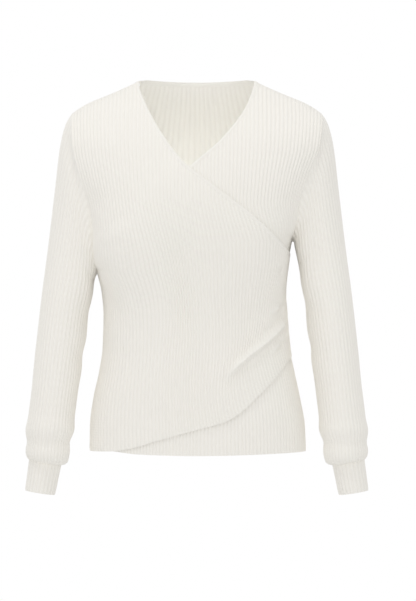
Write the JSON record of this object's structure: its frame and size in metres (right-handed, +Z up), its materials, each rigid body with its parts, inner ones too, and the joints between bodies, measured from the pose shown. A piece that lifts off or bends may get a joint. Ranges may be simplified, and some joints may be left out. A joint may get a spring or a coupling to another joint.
{
  "type": "ribbed knit wrap sweater",
  "caption": "Women's ribbed knit wrap sweater with a V neck and long cuffed sleeves, hollow as worn, its front gathered at one side seam.",
  "frame": {"origin": "midway between the high points of the two shoulders, where the wearer holds the garment up", "axes": "+Z up, +X towards the wearer's left, -Y towards the front of the garment"},
  "size_m": [0.5378, 0.2328, 0.6522],
  "materials": {
    "rib_knit": "matte ivory rib knit",
    "band_knit": "matte ivory narrow knit band"
  },
  "bodies": {
    "root": {"back": "rib_knit", "front_right": "rib_knit", "front_left": "rib_knit", "sleeve_right": "rib_knit", "sleeve_left": "rib_knit", "cuff_right": "rib_knit", "cuff_left": "rib_knit", "neckband_back": "band_knit", "neckband_right": "band_knit", "neckband_left": "band_knit"}
  },
  "joints": []
}
